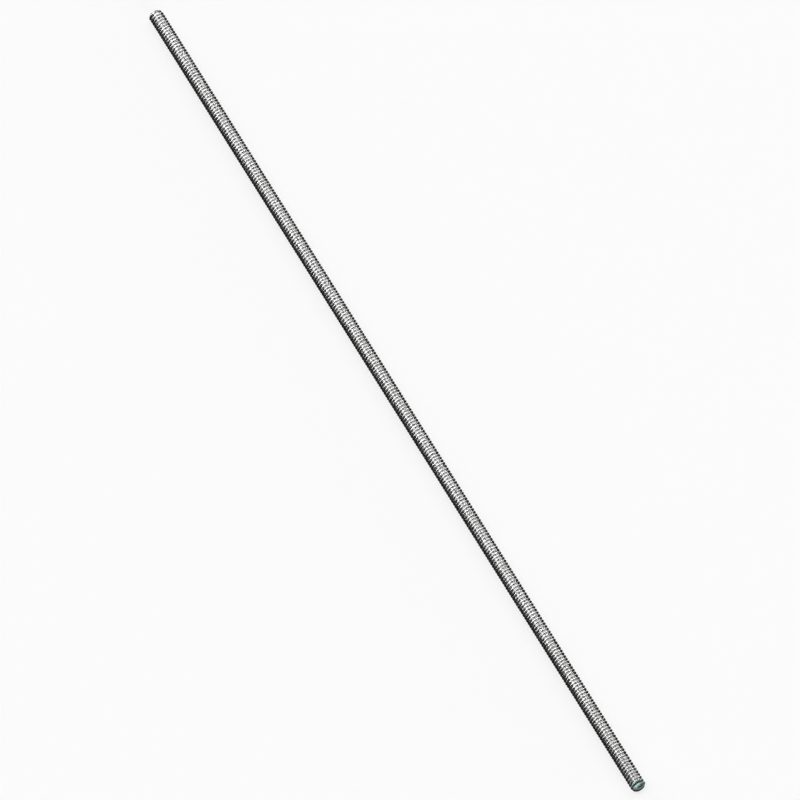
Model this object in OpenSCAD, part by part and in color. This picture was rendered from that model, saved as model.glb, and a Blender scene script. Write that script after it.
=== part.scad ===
// Fully threaded rod of the No. 10-24 size, 12 inches long.
// The rod lies along X, and its middle is the origin. Its marked end is at +X.
// The thread has its true section: flat crests, straight flanks and round roots.
// Each turn is a closed ring, so the section is exact all along and only the lead is left out.

/* [Rod] */
// Length from one end face to the other
rod_length = 304.8; // [60:0.1:400]
// Diameter over the crests of the thread
major_d = 4.65; // [4:0.05:12]

/* [Thread] */
// Turns of thread in each inch of length
turns_per_inch = 24; // [16:1:32]
// Angle between the two flanks of a groove
flank_angle = 60; // [50:1:72]
// Width of the flat on top of each crest
crest_flat = 0.13; // [0.05:0.01:0.2]
// Radius of the round bottom of each groove
root_radius = 0.15; // [0.05:0.01:0.2]

/* [Ends] */
// Length of each end's chamfer along the rod
chamfer_length = 0.7; // [0.2:0.05:1.2]
// Angle between the chamfer and the rod's axis
chamfer_angle = 45; // [30:1:50]

/* [Hidden] */

INCH = 25.4;
ROUND_FACETS = 96;
ROOT_FACETS = 32;
// How far a groove's cut runs out past the crests
CUT_MARGIN = 0.2;

crest_r = major_d / 2;
half_length = rod_length / 2;
end_face_r = crest_r - chamfer_length * tan(chamfer_angle);

pitch = INCH / turns_per_inch;
half_angle = flank_angle / 2;
// Radius at which a groove's two flanks would meet in a sharp point
flank_meet_r = crest_r - (pitch - crest_flat) / 2 / tan(half_angle);
// The root's round touches both flanks, so its centre lies above that point.
root_centre_r = flank_meet_r + root_radius / sin(half_angle);
root_touch_r = root_centre_r - root_radius * sin(half_angle);
groove_outer_r = crest_r + CUT_MARGIN;
// One groove lies past each end face, so that both ends are cut like the rest.
turns = ceil(rod_length / pitch) + 1;

// Half the width of a groove between its flanks, at radius r
function groove_half_width(r) = (r - flank_meet_r) * tan(half_angle);

// Section of one groove: a V that opens outwards, with a round root
module groove_section() {
    translate([root_centre_r, 0]) circle(r = root_radius, $fn = ROOT_FACETS);
    polygon([
        [root_touch_r, -groove_half_width(root_touch_r)],
        [groove_outer_r, -groove_half_width(groove_outer_r)],
        [groove_outer_r, groove_half_width(groove_outer_r)],
        [root_touch_r, groove_half_width(root_touch_r)]
    ]);
}

// Half section of the plain bar, cut to length and chamfered
module bar_section() {
    full_end = half_length - chamfer_length;
    polygon([
        [0, -half_length],
        [end_face_r, -half_length],
        [crest_r, -full_end],
        [crest_r, full_end],
        [end_face_r, half_length],
        [0, half_length]
    ]);
}

module threaded_rod() {
    color("silver")
    rotate([0, 90, 0])
    rotate_extrude($fn = ROUND_FACETS)
    difference() {
        bar_section();
        for (i = [0 : turns])
            translate([0, (i - turns / 2) * pitch]) groove_section();
    }
}

threaded_rod();
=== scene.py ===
import itertools
import math

import bpy
import numpy as np
from mathutils import Matrix, Vector


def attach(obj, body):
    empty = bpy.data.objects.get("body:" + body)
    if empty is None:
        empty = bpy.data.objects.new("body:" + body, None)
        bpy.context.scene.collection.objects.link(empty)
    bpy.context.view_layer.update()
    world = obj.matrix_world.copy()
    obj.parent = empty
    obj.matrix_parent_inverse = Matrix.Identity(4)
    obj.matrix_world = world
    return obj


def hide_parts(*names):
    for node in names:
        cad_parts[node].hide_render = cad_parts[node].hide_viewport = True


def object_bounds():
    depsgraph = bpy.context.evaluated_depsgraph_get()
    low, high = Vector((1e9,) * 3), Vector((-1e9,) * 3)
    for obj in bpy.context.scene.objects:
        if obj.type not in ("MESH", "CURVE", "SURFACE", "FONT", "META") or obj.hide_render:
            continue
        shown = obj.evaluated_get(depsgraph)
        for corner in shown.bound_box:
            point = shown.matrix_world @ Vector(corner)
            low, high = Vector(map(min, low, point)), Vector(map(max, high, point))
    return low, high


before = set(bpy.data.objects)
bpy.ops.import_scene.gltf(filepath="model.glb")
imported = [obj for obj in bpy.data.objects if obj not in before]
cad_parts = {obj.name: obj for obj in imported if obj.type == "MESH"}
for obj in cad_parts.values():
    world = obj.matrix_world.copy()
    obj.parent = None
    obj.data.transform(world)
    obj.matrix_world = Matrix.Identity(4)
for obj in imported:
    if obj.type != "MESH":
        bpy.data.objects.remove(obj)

# A fully threaded rod that lies on a pale floor. Its axis is X, and its dyed end is at +X.
# The CAD part holds the thread as closed rings, and this script gives it its helix.

CAD_LOW, CAD_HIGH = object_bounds()
MM = 0.001
TAU = 2 * math.pi

# The rod, with the same sizes as the part's source
HALF_LENGTH = CAD_HIGH.x
CREST_R = CAD_HIGH.z
PITCH = 25.4 * MM / 24
HALF_ANGLE = math.radians(30)
CREST_FLAT = 0.13 * MM
ROOT_RADIUS = 0.15 * MM
CHAMFER = 0.7 * MM
FACE_R = CREST_R - CHAMFER
FACE_DISH = 0.05 * MM
HELIX_START = 0.22  # turns by which the thread is advanced, which sets how its last groove runs out

# How finely the surface is divided
STATIONS = 40  # round the rod
END_ZONE = 1.7 * MM  # stretch at each end that has closer rows
END_ROW = 0.035 * MM
FACE_RINGS = 8

# The thread's section, from the middle of a crest outwards. The crest's round touches both flanks.
FLANK_MEET_R = CREST_R - (PITCH - CREST_FLAT) / 2 / math.tan(HALF_ANGLE)
ROOT_CENTRE_R = FLANK_MEET_R + ROOT_RADIUS / math.sin(HALF_ANGLE)
ROOT_R = ROOT_CENTRE_R - ROOT_RADIUS
ROOT_TOUCH = PITCH / 2 - ROOT_RADIUS * math.cos(HALF_ANGLE)
CREST_ROUND = CREST_FLAT / 2 * math.cos(HALF_ANGLE) / (1 - math.sin(HALF_ANGLE))
CREST_TOUCH = CREST_ROUND * math.cos(HALF_ANGLE)

# The map for baked pictures: the side in strips one above another, with both end faces over them
STRIPS = 5
STRIP_SHARE = 0.18
STRIP_GAP = 0.03
DISC_R = 0.035
DISC_ASIDE = 0.2  # how far each end face's middle lies to the side of the map's middle


def thread_radius(x, angle):
    """Radius of the helical thread at x along the rod and at an angle round it."""
    turns = x / PITCH - angle / TAU - HELIX_START
    off_crest = np.abs(turns - np.round(turns)) * PITCH
    crest = CREST_R - CREST_ROUND + np.sqrt(np.maximum(CREST_ROUND**2 - off_crest**2, 0))
    flank = CREST_R - CREST_ROUND / 2 - (off_crest - CREST_TOUCH) / math.tan(HALF_ANGLE)
    off_root = PITCH / 2 - off_crest
    root = ROOT_CENTRE_R - np.sqrt(np.maximum(ROOT_RADIUS**2 - off_root**2, 0))
    return np.where(off_crest < CREST_TOUCH, crest, np.where(off_crest < ROOT_TOUCH, flank, root))


def chamfer_radius(x):
    """Radius of the cone that cuts the thread back at each end."""
    return FACE_R + HALF_LENGTH - np.abs(x)


def rod_radius(x, angle):
    """Radius of the finished rod: its thread, cut back by the chamfers."""
    return np.minimum(thread_radius(x, angle), chamfer_radius(x))


def face_depth(radius):
    """How far the shallow dish of an end face lies inside the end plane."""
    return FACE_DISH * np.cos(radius / FACE_R * math.pi / 2) ** 2


def main_rows():
    """Places of the profile's points along the helix, from its first turn to its last."""
    half = [0, CREST_TOUCH / 2, CREST_TOUCH, ROOT_TOUCH, PITCH / 2]
    turn = np.array([-v for v in half[:0:-1]] + half[:-1])
    count = math.ceil(HALF_LENGTH / PITCH) + 1
    turns = np.arange(-count, count + 1) + HELIX_START
    return (turns[:, None] * PITCH + turn[None]).ravel()


def end_rows(side, angle):
    """Closer rows near an end, and the numbers of those on the chamfer's edges in the thread."""
    xs = np.linspace(HALF_LENGTH - END_ZONE, HALF_LENGTH, round(END_ZONE / END_ROW) + 1)
    over = thread_radius(side * xs, angle) - chamfer_radius(xs)
    rows = xs.copy()
    edges = []
    for i in np.nonzero(over[:-1] * over[1:] < 0)[0]:
        share = over[i] / (over[i] - over[i + 1])
        nearest = i + round(share)
        if 0 < nearest < len(xs) - 1 and nearest not in edges:
            rows[nearest] = xs[i] + share * (xs[i + 1] - xs[i])
            edges.append(nearest)
    if side > 0:
        return rows, edges
    return -rows[::-1], [len(rows) - 1 - i for i in reversed(edges)]


def joined(rows, edges, next_rows, next_edges):
    """Pairs of rows, one at each of two stations, that an edge joins.

    An edge that turns back between the two stations joins none.
    """
    if len(edges) > len(next_edges):
        return [(i, j) for j, i in joined(next_rows, next_edges, rows, edges)]

    def distance(picked):
        return sum(abs(rows[i] - next_rows[j]) for i, j in zip(edges, picked))

    found = min(itertools.combinations(next_edges, len(edges)), key=distance)
    return list(zip(edges, found))


class Surface:
    """The rod's closed surface as it is built, with each corner's place in the map and each face's kind."""

    def __init__(self):
        self.points, self.faces, self.places, self.kinds = [], [], [], []
        self.index = {}

    def vertex(self, x, station, radius):
        key = (round(x / 1e-8), station % STATIONS, round(radius / 1e-8))
        if key not in self.index:
            angle = TAU * (station + 0.5) / STATIONS
            self.index[key] = len(self.points)
            self.points.append((x, radius * math.cos(angle), radius * math.sin(angle)))
        return self.index[key]

    def face(self, corners, places, kind):
        """Adds a face, unless its corners fall together. Its kind is thread, chamfer or face."""
        kept = [k for k in range(len(corners)) if corners[k] != corners[k - 1]]
        if len(kept) > 2:
            self.faces.append([corners[k] for k in kept])
            self.places.extend(places[k] for k in kept)
            self.kinds.append(kind)


def side_place(middle, x, station):
    """Place in the map of a point on the side. The middle of its face picks the strip."""
    length = 2 * HALF_LENGTH / STRIPS
    strip = min(int((middle + HALF_LENGTH) / length), STRIPS - 1)
    along = (x + HALF_LENGTH) / length - strip
    across = STRIP_GAP + (1 - 2 * STRIP_GAP) * station / STATIONS
    return (STRIP_GAP / 2 + (1 - STRIP_GAP) * along, (strip + across) * STRIP_SHARE)


def add_strip(surface, xs, next_xs, station):
    """Adds the faces of the thread between one station and the next, whose points lie at these x."""
    radii = thread_radius(xs, TAU * (station + 0.5) / STATIONS)
    next_radii = thread_radius(next_xs, TAU * (station + 1.5) / STATIONS)
    near = [surface.vertex(x, station, r) for x, r in zip(xs, radii)]
    far = [surface.vertex(x, station + 1, r) for x, r in zip(next_xs, next_radii)]
    for i in range(len(xs) - 1):
        middle = (xs[i] + next_xs[i] + xs[i + 1] + next_xs[i + 1]) / 4
        corners = (
            (xs[i], station),
            (next_xs[i], station + 1),
            (next_xs[i + 1], station + 1),
            (xs[i + 1], station),
        )
        places = [side_place(middle, x, s) for x, s in corners]
        surface.face([near[i], far[i], far[i + 1], near[i + 1]], places, "thread")


def add_end_strip(surface, side, station):
    """Adds the triangles near an end between two stations, which meet along the chamfer's edges."""
    angle, next_angle = TAU * (station + 0.5) / STATIONS, TAU * (station + 1.5) / STATIONS
    rows, edges = end_rows(side, angle)
    next_rows, next_edges = end_rows(side, next_angle)
    radii, next_radii = rod_radius(rows, angle), rod_radius(next_rows, next_angle)
    near = [surface.vertex(x, station, r) for x, r in zip(rows, radii)]
    far = [surface.vertex(x, station + 1, r) for x, r in zip(next_rows, next_radii)]
    last = len(rows) - 1
    pairs = [(0, 0), *joined(rows, edges, next_rows, next_edges), (last, last)]
    for (i, j), (i_end, j_end) in zip(pairs, pairs[1:]):
        middle = (rows[i] + next_rows[j] + rows[i_end] + next_rows[j_end]) / 4
        while i < i_end or j < j_end:
            if j == j_end or (i < i_end and rows[i + 1] - next_rows[j] <= next_rows[j + 1] - rows[i]):
                third, found = (rows[i + 1], station), [near[i], far[j], near[i + 1]]
                corners = ((rows[i], station), (next_rows[j], station + 1), third)
                i += 1
            else:
                third, found = (next_rows[j + 1], station + 1), [near[i], far[j], far[j + 1]]
                corners = ((rows[i], station), (next_rows[j], station + 1), third)
                j += 1
            if len(edges) != len(next_edges):
                middle = sum(x for x, _ in corners) / 3
            over = thread_radius(middle, (angle + next_angle) / 2) - chamfer_radius(middle)
            places = [side_place(middle, x, s) for x, s in corners]
            surface.face(found, places, "chamfer" if over > 0 else "thread")


def add_side(surface):
    """Rows that follow the helix, and straight closer rows near the ends."""
    main_end = HALF_LENGTH - END_ZONE
    rows = main_rows()
    lead = PITCH / STATIONS
    for station in range(STATIONS):
        xs = np.clip(rows + lead * (station + 0.5), -main_end, main_end)
        next_xs = np.clip(rows + lead * (station + 1.5), -main_end, main_end)
        add_strip(surface, xs, next_xs, station)
        for side in (-1, 1):
            add_end_strip(surface, side, station)


def add_faces(surface):
    """The dished face at each end."""
    radii = FACE_R * np.linspace(1, 0, FACE_RINGS + 1)
    middle_v = (STRIPS * STRIP_SHARE + 1) / 2
    for side in (-1, 1):
        for ring in range(FACE_RINGS):
            for station in range(STATIONS):
                corners = [(radii[ring], station), (radii[ring], station + 1)]
                corners += [(radii[ring + 1], station + 1), (radii[ring + 1], station)]
                if ring == FACE_RINGS - 1:
                    corners = [*corners[:2], (0.0, 0)]
                if side < 0:
                    corners = corners[::-1]
                found = [surface.vertex(side * (HALF_LENGTH - face_depth(r)), s, r) for r, s in corners]
                places = []
                for r, s in corners:
                    angle = TAU * (s + 0.5) / STATIONS
                    reach = DISC_R * r / FACE_R
                    u = 0.5 + DISC_ASIDE * side + reach * math.cos(angle)
                    places.append((u, middle_v + reach * math.sin(angle)))
                surface.face(found, places, "face")


def unit(vectors):
    return vectors / np.linalg.norm(vectors, axis=1)[:, None]


def thread_normals(points):
    """Normals of the thread, from the slopes of its radius along and round the rod."""
    x = points[:, 0]
    angle = np.arctan2(points[:, 2], points[:, 1])
    radius = np.maximum(np.hypot(points[:, 1], points[:, 2]), 1e-6)
    step = 0.002 * MM
    turn = step / CREST_R
    along = (thread_radius(x + step, angle) - thread_radius(x - step, angle)) / (2 * step)
    around = (thread_radius(x, angle + turn) - thread_radius(x, angle - turn)) / (2 * turn) / radius
    across = np.cos(angle) + around * np.sin(angle)
    upwards = np.sin(angle) - around * np.cos(angle)
    return unit(np.stack([-along, across, upwards], 1))


def chamfer_normals(points):
    """Normals of the 45 degree cones."""
    angle = np.arctan2(points[:, 2], points[:, 1])
    return unit(np.stack([np.sign(points[:, 0]), np.cos(angle), np.sin(angle)], 1))


def face_normals(points):
    """Normals of the dished end faces at these points."""
    angle = np.arctan2(points[:, 2], points[:, 1])
    share = np.hypot(points[:, 1], points[:, 2]) / FACE_R
    slope = -FACE_DISH * math.pi / 2 / FACE_R * np.sin(share * math.pi)
    return unit(np.stack([np.sign(points[:, 0]), slope * np.cos(angle), slope * np.sin(angle)], 1))


def make_rod(material):
    """The rod as one piece, with normals worked out from its own formula."""
    surface = Surface()
    add_side(surface)
    add_faces(surface)
    points = np.array(surface.points)
    mesh = bpy.data.meshes.new("rolled_rod")
    mesh.from_pydata(surface.points, [], surface.faces)
    mesh.polygons.foreach_set("use_smooth", np.ones(len(mesh.polygons), bool))
    corner = np.empty(len(mesh.loops), np.int32)
    mesh.loops.foreach_get("vertex_index", corner)
    kinds = np.repeat(surface.kinds, [len(face) for face in surface.faces])
    normals = thread_normals(points)[corner]
    for kind, find in (("chamfer", chamfer_normals), ("face", face_normals)):
        normals[kinds == kind] = find(points)[corner[kinds == kind]]
    places = np.array(surface.places, np.float32).ravel()
    mesh.uv_layers.new(name="OFBake").uv.foreach_set("vector", places)
    mesh.normals_split_custom_set(normals.tolist())
    mesh.materials.append(material)
    rod = bpy.data.objects.new("rolled_rod", mesh)
    bpy.context.scene.collection.objects.link(rod)
    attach(rod, "root")
    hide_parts("threaded_rod")
    return rod


def add(tree, kind, inputs=None, **settings):
    """A new node with these settings, whose inputs get a value or a link."""
    node = tree.nodes.new(kind)
    for name, value in settings.items():
        setattr(node, name, value)
    for name, value in (inputs or {}).items():
        if isinstance(value, bpy.types.NodeSocket):
            tree.links.new(value, node.inputs[name])
        else:
            node.inputs[name].default_value = value
    return node


def vector_math(tree, operation, a, b=(0, 0, 0)):
    node = add(tree, "ShaderNodeVectorMath", {0: a, 1: b}, operation=operation)
    return node.outputs["Value" if operation == "LENGTH" else "Vector"]


def value_math(tree, operation, a, b=0.0):
    return add(tree, "ShaderNodeMath", {0: a, 1: b}, operation=operation).outputs[0]


def noise(tree, place, scale, detail=2.0, roughness=0.5):
    inputs = {"Vector": place, "Scale": scale, "Detail": detail, "Roughness": roughness}
    return add(tree, "ShaderNodeTexNoise", inputs).outputs["Fac"]


def ramped(tree, value, low, high, out_low=0.0, out_high=1.0):
    """The value carried smoothly from one range to another, and held at its ends."""
    inputs = {"Value": value, "From Min": low, "From Max": high, "To Min": out_low, "To Max": out_high}
    return add(tree, "ShaderNodeMapRange", inputs, interpolation_type="SMOOTHSTEP").outputs["Result"]


def mixed_colour(tree, share, first, second):
    node = add(tree, "ShaderNodeMix", data_type="RGBA")
    for name, value in (("Factor", share), ("A", first), ("B", second)):
        socket = next(s for s in node.inputs if s.name == name and s.enabled)
        if isinstance(value, bpy.types.NodeSocket):
            tree.links.new(value, socket)
        else:
            socket.default_value = value
    return next(s for s in node.outputs if s.enabled)


def mixed_value(tree, share, first, second):
    """The way from the first value to the second by this share."""
    node = add(tree, "ShaderNodeMapRange", {"Value": share, "To Min": first, "To Max": second})
    return node.outputs["Result"]


def off_crest(tree, place):
    """How many turns a place in millimetres is from the nearest crest of the thread, up to a half."""
    x, y, z = add(tree, "ShaderNodeSeparateXYZ", {0: place}).outputs
    turns = value_math(tree, "DIVIDE", x, PITCH / MM)
    round_rod = value_math(tree, "DIVIDE", value_math(tree, "ARCTAN2", z, y), TAU)
    turns = value_math(tree, "SUBTRACT", value_math(tree, "SUBTRACT", turns, round_rod), HELIX_START)
    return value_math(tree, "PINGPONG", turns, 0.5)


# Colours and finish of the rod. Lengths are in millimetres, and noise scales are per millimetre.
CREST_STEEL = (0.79, 0.79, 0.79, 1)
DULL_STEEL = (0.70, 0.70, 0.695, 1)
SLOW_SCALE = 0.05  # slow changes of tone along the rod
MOTTLE_SCALE = 1.1
SLOW_SHARE = 0.6  # the slow changes' part in the tone. The mottling has the rest.
# Painted shade in the thread's roots: a darker grey there, which also adds some roughness
ROOT_SHADE_COLOUR = (0.58, 0.575, 0.565, 1)
ROOT_SHADE_DEPTH = 0.14  # how high above the bottom of the root the painted shade reaches
ROOT_SHADE_COVER = (0.45, 0.95)
FINISH_SCALE = 0.6
FINISH = (0.19, 0.25)  # roughness of the steel, from its smoothest to its dullest
ROOT_SHADE_FINISH = 0.05  # roughness that the painted root shade adds
MARKS_OUT, MARKS_ALONG = 9.0, 14.0  # steps of the rolling marks, outwards and along the rod
MARKS_ROUND = 1.5  # how soon the marks change round the rod
MARKS_HEIGHT = 0.003

DYE = (0.36, 0.52, 0.495, 1)
DYE_REACH = 1.5  # from the end to the middle of the dye's edge
DYE_EDGE = 0.32  # half of the edge's width
DYE_WANDER = 0.35
DYE_WANDER_SCALE = 0.9
DYE_PATCH_SCALE = 2.2
DYE_COVER = (0.8, 0.97)
DYE_METALLIC = 0.97
DYE_FINISH = 0.30
# Painted shade on the dyed end: a dark dye colour in its grooves, along the end face's lower edge and in a
# patch on the face
DYE_SHADE_COLOUR = (0.018, 0.055, 0.05, 1)
GROOVE_SHADE_EDGES = (0.24, 0.40)  # where the grooves get painted shade, in turns from the nearest crest
FACE_SHADE_PLACE = (0, 0.15, 1.0)  # middle of a patch of painted shade on the end face
FACE_SHADE_SIZE = (0.9, 0.6)  # half of its width and height
FACE_SHADE_EDGES = (1.2, 0.7)  # where it sets in and is full, as shares of its size
RIM_SHADE_DROP = 0.35  # the painted shade along the face's edge is widest at the bottom, by this
RIM_SHADE_EDGES = (1.05, 1.35)  # where it sets in and is full, from a point RIM_SHADE_DROP above the face's middle
RIM_SHADE_HEIGHTS = (0.7, 0.0)  # heights above the axis at which it sets in and is full
FACE_SHADE_REST = 0.05  # how much painted shade the rest of the face gets


def off_axis(tree, place, middle, width=1.0, height=1.0):
    """How far a place is from the line along X through this middle, as a share of a width and a height."""
    off = vector_math(tree, "SUBTRACT", place, middle)
    return vector_math(tree, "LENGTH", vector_math(tree, "MULTIPLY", off, (0, 1 / width, 1 / height)))


def painted_dye_shade(tree, place):
    """Where painted shade darkens the dye: in the grooves, along the end face's lower edge and in a patch
    on the face.
    """
    x, _, height = add(tree, "ShaderNodeSeparateXYZ", {0: place}).outputs
    dish = (HALF_LENGTH - FACE_DISH) / MM
    on_side = ramped(tree, x, dish, dish - 0.02)
    groove = value_math(tree, "MULTIPLY", ramped(tree, off_crest(tree, place), *GROOVE_SHADE_EDGES), on_side)
    rim_shade = ramped(tree, off_axis(tree, place, (0, 0, RIM_SHADE_DROP)), *RIM_SHADE_EDGES)
    rim_shade = value_math(tree, "MULTIPLY", rim_shade, ramped(tree, height, *RIM_SHADE_HEIGHTS))
    face_shade = off_axis(tree, place, FACE_SHADE_PLACE, *FACE_SHADE_SIZE)
    face_shade = ramped(tree, face_shade, *FACE_SHADE_EDGES, FACE_SHADE_REST, 1.0)
    face_shade = value_math(tree, "SUBTRACT", face_shade, on_side)
    return value_math(tree, "MAXIMUM", groove, value_math(tree, "MAXIMUM", rim_shade, face_shade))


def painted_root_shade(tree, radius, mottle):
    """How strong the painted shade in the roots is, from 0 to 1."""
    bottom = ROOT_R / MM
    depth = ramped(tree, radius, bottom + ROOT_SHADE_DEPTH, bottom)
    return value_math(tree, "MULTIPLY", depth, ramped(tree, mottle, 0.25, 0.7, *ROOT_SHADE_COVER))


def steel_colour(tree, place, mottle, root_shade):
    """Colour of the bare steel, whose tone changes slowly and in a fine mottle, with painted shade in the
    roots.
    """
    slow = ramped(tree, noise(tree, place, SLOW_SCALE, 2), 0.35, 0.65, 0, SLOW_SHARE)
    fine = ramped(tree, mottle, 0.3, 0.7, 0, 1 - SLOW_SHARE)
    colour = mixed_colour(tree, value_math(tree, "ADD", slow, fine), DULL_STEEL, CREST_STEEL)
    return mixed_colour(tree, root_shade, colour, ROOT_SHADE_COLOUR)


def rolling_marks(tree, x, spoke, radius):
    """Faint lines that run round the rod and its end faces, as a bump."""
    out = value_math(tree, "MULTIPLY", radius, MARKS_OUT)
    lines = value_math(tree, "ADD", out, value_math(tree, "MULTIPLY", x, MARKS_ALONG))
    lines = add(tree, "ShaderNodeCombineXYZ", {"X": lines}).outputs[0]
    outwards = vector_math(tree, "NORMALIZE", spoke)
    round_rod = vector_math(tree, "MULTIPLY", outwards, (MARKS_ROUND,) * 3)
    marks = noise(tree, vector_math(tree, "ADD", round_rod, lines), 1.0, 2)
    bump = {"Height": marks, "Strength": 1.0, "Distance": MARKS_HEIGHT * MM}
    return add(tree, "ShaderNodeBump", bump).outputs["Normal"]


def steel():
    """Bright rolled steel with faint rolling marks and a dyed end at +X. Its roots are rougher and darker,
    the darkness being painted shade, and the dyed end has painted shade too.
    """
    material = bpy.data.materials.new("bright_steel")
    material.use_nodes = True
    tree = material.node_tree
    shader = tree.nodes["Principled BSDF"]
    place = add(tree, "ShaderNodeTexCoord").outputs["Object"]
    place = vector_math(tree, "MULTIPLY", place, (1 / MM,) * 3)
    x = add(tree, "ShaderNodeSeparateXYZ", {0: place}).outputs["X"]
    spoke = vector_math(tree, "MULTIPLY", place, (0, 1, 1))
    radius = vector_math(tree, "LENGTH", spoke)
    mottle = noise(tree, place, MOTTLE_SCALE, 3, 0.6)
    # Painted shade in the roots, which are also made rougher
    root_shade = painted_root_shade(tree, radius, mottle)

    wander = noise(tree, place, DYE_WANDER_SCALE, 2)
    edge = value_math(tree, "ADD", x, ramped(tree, wander, 0.2, 0.8, -DYE_WANDER, DYE_WANDER))
    dye_start = HALF_LENGTH / MM - DYE_REACH
    reached = ramped(tree, edge, dye_start - DYE_EDGE, dye_start + DYE_EDGE)
    cover = ramped(tree, noise(tree, place, DYE_PATCH_SCALE, 2), 0.3, 0.7, *DYE_COVER)
    dye = value_math(tree, "MULTIPLY", reached, cover)
    # Painted shade on the dyed end, in its grooves and on its face
    dye_shade = value_math(tree, "MULTIPLY", painted_dye_shade(tree, place), reached)
    colour = mixed_colour(tree, dye, steel_colour(tree, place, mottle, root_shade), DYE)
    tree.links.new(mixed_colour(tree, dye_shade, colour, DYE_SHADE_COLOUR), shader.inputs["Base Color"])
    tree.links.new(mixed_value(tree, dye, 1.0, DYE_METALLIC), shader.inputs["Metallic"])

    finish = ramped(tree, noise(tree, place, FINISH_SCALE, 3, 0.6), 0.3, 0.7, *FINISH)
    finish = value_math(tree, "ADD", finish, value_math(tree, "MULTIPLY", root_shade, ROOT_SHADE_FINISH))
    tree.links.new(mixed_value(tree, dye, finish, DYE_FINISH), shader.inputs["Roughness"])
    tree.links.new(rolling_marks(tree, x, spoke, radius), shader.inputs["Normal"])
    return material


FLOOR_REACH = 6
FLOOR_Z = -CREST_R - 0.01 * MM
FLOOR_COLOUR = (0.9, 0.9, 0.9, 1)
FLOOR_WHITE = 0.75  # share of plain white in what the camera and the metal see of the floor


def pale_floor_material():
    """A pale floor that looks nearly white and still takes the rod's soft shadow."""
    material = bpy.data.materials.new("pale_floor")
    material.use_nodes = True
    tree = material.node_tree
    shader = tree.nodes["Principled BSDF"]
    shader.inputs["Base Color"].default_value = FLOOR_COLOUR
    shader.inputs["Roughness"].default_value = 0.9
    shader.inputs["Specular IOR Level"].default_value = 0.1
    path = add(tree, "ShaderNodeLightPath").outputs
    seen = value_math(tree, "MAXIMUM", path["Is Camera Ray"], path["Is Glossy Ray"])
    seen = value_math(tree, "MAXIMUM", seen, path["Is Transmission Ray"])
    share = value_math(tree, "MULTIPLY", seen, FLOOR_WHITE)
    white = add(tree, "ShaderNodeEmission", {"Color": (1, 1, 1, 1), "Strength": 1.0})
    mix = add(tree, "ShaderNodeMixShader", {0: share, 1: shader.outputs[0], 2: white.outputs[0]})
    tree.links.new(mix.outputs[0], tree.nodes["Material Output"].inputs["Surface"])
    return material


def plain_material(name, colour=0.0, glow=0.0):
    """A matt grey that gives off white light if it has a glow."""
    material = bpy.data.materials.new(name)
    material.use_nodes = True
    inputs = material.node_tree.nodes["Principled BSDF"].inputs
    inputs["Base Color"].default_value = (colour, colour, colour, 1)
    inputs["Roughness"].default_value = 1
    inputs["Specular IOR Level"].default_value = 0
    inputs["Emission Color"].default_value = (1, 1, 1, 1)
    inputs["Emission Strength"].default_value = glow
    return material


def flat_sheet(name, x0, x1, y0, y1, z, material):
    """A level rectangle that belongs to the studio."""
    mesh = bpy.data.meshes.new(name)
    mesh.from_pydata([(x0, y0, 0), (x1, y0, 0), (x1, y1, 0), (x0, y1, 0)], [], [(0, 1, 2, 3)])
    mesh.materials.append(material)
    sheet = bpy.data.objects.new(name, mesh)
    sheet.location.z = z
    bpy.context.scene.collection.objects.link(sheet)
    return sheet


def make_floor():
    reach = FLOOR_REACH
    flat_sheet("floor", -reach, reach, -reach, reach, FLOOR_Z, pale_floor_material())


def direction(round_rod, along_rod):
    """The way out from the rod at an angle from straight up towards +Y and one towards +X, in degrees."""
    psi, chi = math.radians(round_rod), math.radians(along_rod)
    return Vector((math.sin(chi), math.cos(chi) * math.sin(psi), math.cos(chi) * math.cos(psi)))


def facing(centre, away, distance, roll=0.0):
    """Place and turn of an object facing this centre. Without a roll it is level with the rod."""
    across = (Vector((1, 0, 0)) - away * away.x).normalized()
    axes = Matrix((across, away.cross(across), away)).transposed().to_4x4()
    turn = Matrix.Rotation(math.radians(roll), 4, "Z")
    return Matrix.Translation(centre + away * distance) @ axes @ turn


def spans(size, distance):
    """Width and height of what takes up these angles, in degrees, at a distance."""
    return [2 * distance * math.tan(math.radians(v) / 2) for v in size]


LAMP_DISTANCE = 10.0


def softbox(name, round_rod, along_rod, size, radiance, roll=0.0):
    """A rectangular lamp that faces the rod's middle. Its place and size are angles in degrees."""
    width, height = spans(size, LAMP_DISTANCE)
    data = bpy.data.lights.new(name, "AREA")
    data.shape = "RECTANGLE"
    data.size, data.size_y = width, height
    data.energy = radiance * math.pi * width * height
    lamp = bpy.data.objects.new(name, data)
    lamp.visible_camera = False
    lamp.matrix_world = facing(Vector((0, 0, 0)), direction(round_rod, along_rod), LAMP_DISTANCE, roll)
    bpy.context.scene.collection.objects.link(lamp)


def only_in_reflections(card):
    card.visible_camera = False
    card.visible_diffuse = False
    card.visible_shadow = False
    card.visible_transmission = False


END_CARD_DISTANCE = 5 * MM


def end_card(name, glow, foot, round_rod, along_rod, size):
    """A card close to the dyed end, for its chamfer to mirror in place of the lamps behind the card.

    It faces the chamfer's inner edge at the angle foot round the rod. All angles are in degrees.
    """
    width, height = spans(size, END_CARD_DISTANCE)
    material = plain_material(name, glow=glow)
    card = flat_sheet(name, -width / 2, width / 2, -height / 2, height / 2, 0, material)
    chamfer = Vector((HALF_LENGTH, 0, 0)) + direction(foot, 0) * FACE_R
    card.matrix_world = facing(chamfer, direction(round_rod, along_rod), END_CARD_DISTANCE)
    only_in_reflections(card)


CARD_Z = -CREST_R + 0.05 * MM
CARD_REACH = 0.4  # how far the cards go beyond the rod's ends and to its sides
GREY_START, GREY_END = 0.6 * MM, 30 * MM  # the grey card, from the dyed end
TIP_GAP = 1.2 * MM  # half the width of the pale strip
BLACK, GREY, PALE = 0.02, 0.36, 0.7


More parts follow.
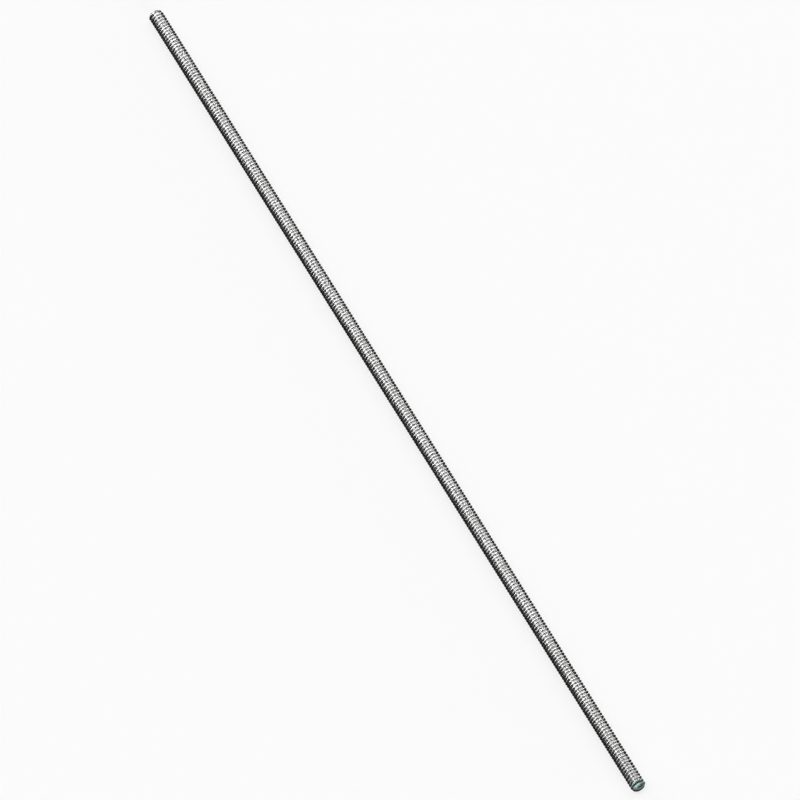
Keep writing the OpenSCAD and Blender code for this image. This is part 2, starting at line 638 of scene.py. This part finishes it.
def dark_cards():
    """Cards on the floor round the rod, seen only in reflections.

    They are black, but for a grey one in front of the dyed end, for the end face to mirror, and a pale
    strip behind the plain end.
    """
    end, reach = HALF_LENGTH, CARD_REACH
    near, far = end + GREY_START, end + GREY_END
    for x0, x1, y0, y1, colour in (
        (-end, near, -reach, reach, BLACK),
        (near, far, -reach, reach, GREY),
        (far, end + reach, -reach, reach, BLACK),
        (-end - reach, -end, TIP_GAP, reach, BLACK),
        (-end - reach, -end, -reach, -TIP_GAP, BLACK),
        (-end - reach, -end, -TIP_GAP, TIP_GAP, PALE),
    ):
        card = flat_sheet("dark_card", x0, x1, y0, y1, CARD_Z, plain_material("dark_card", colour))
        only_in_reflections(card)


WORLD_LIGHT = 0.040


def light_studio():
    """Lamps fitted to the photo's light and dark bands on the steel, the cards, and a low even light."""
    softbox("strip", 36.7, -9.1, (19.8, 43.0), 3.37, 14.6)
    softbox("bend", -19.9, -11.7, (23.5, 46.9), 3.80, -14.9)
    softbox("front", 54.7, 82.6, (18.0, 140.0), 3.64, 57.0)
    softbox("side", 89.0, 16.1, (53.3, 14.4), 4.28, 2.2)
    softbox("behind", 71.6, -75.8, (30.0, 96.4), 4.50, -49.7)
    softbox("fill", -70.7, 83.0, (45.9, 76.6), 4.34, -40.5)
    dark_cards()
    end_card("pale_card", 0.85, -14, -14, 63, (34, 100))
    end_card("shade_card", 0.3, 18, 74, 44, (50, 46))
    world = bpy.data.worlds.new("studio")
    bpy.context.scene.world = world
    world.use_nodes = True
    back = world.node_tree.nodes["Background"]
    back.inputs["Color"].default_value = (1, 1, 1, 1)
    back.inputs["Strength"].default_value = WORLD_LIGHT


CAMERA_AZIMUTH = math.radians(61.508)
CAMERA_ELEVATION = math.radians(60.105)
CAMERA_DISTANCE = 5.3299
CAMERA_AIM = Vector((2.007 * MM, 0.881 * MM, 0))
CAMERA_LENS = 800
CAMERA_CLIP = 20


def make_camera():
    data = bpy.data.cameras.new("camera")
    data.lens = CAMERA_LENS
    data.clip_end = CAMERA_CLIP
    camera = bpy.data.objects.new("camera", data)
    level = math.cos(CAMERA_ELEVATION)
    aside, behind = math.sin(CAMERA_AZIMUTH) * level, -math.cos(CAMERA_AZIMUTH) * level
    back = Vector((aside, behind, math.sin(CAMERA_ELEVATION)))
    camera.location = CAMERA_AIM + back * CAMERA_DISTANCE
    camera.rotation_mode = "QUATERNION"
    camera.rotation_quaternion = back.to_track_quat("Z", "Y")
    bpy.context.scene.collection.objects.link(camera)
    bpy.context.scene.camera = camera


make_rod(steel())
make_floor()
light_studio()
make_camera()
bpy.context.scene.view_settings.view_transform = "Standard"
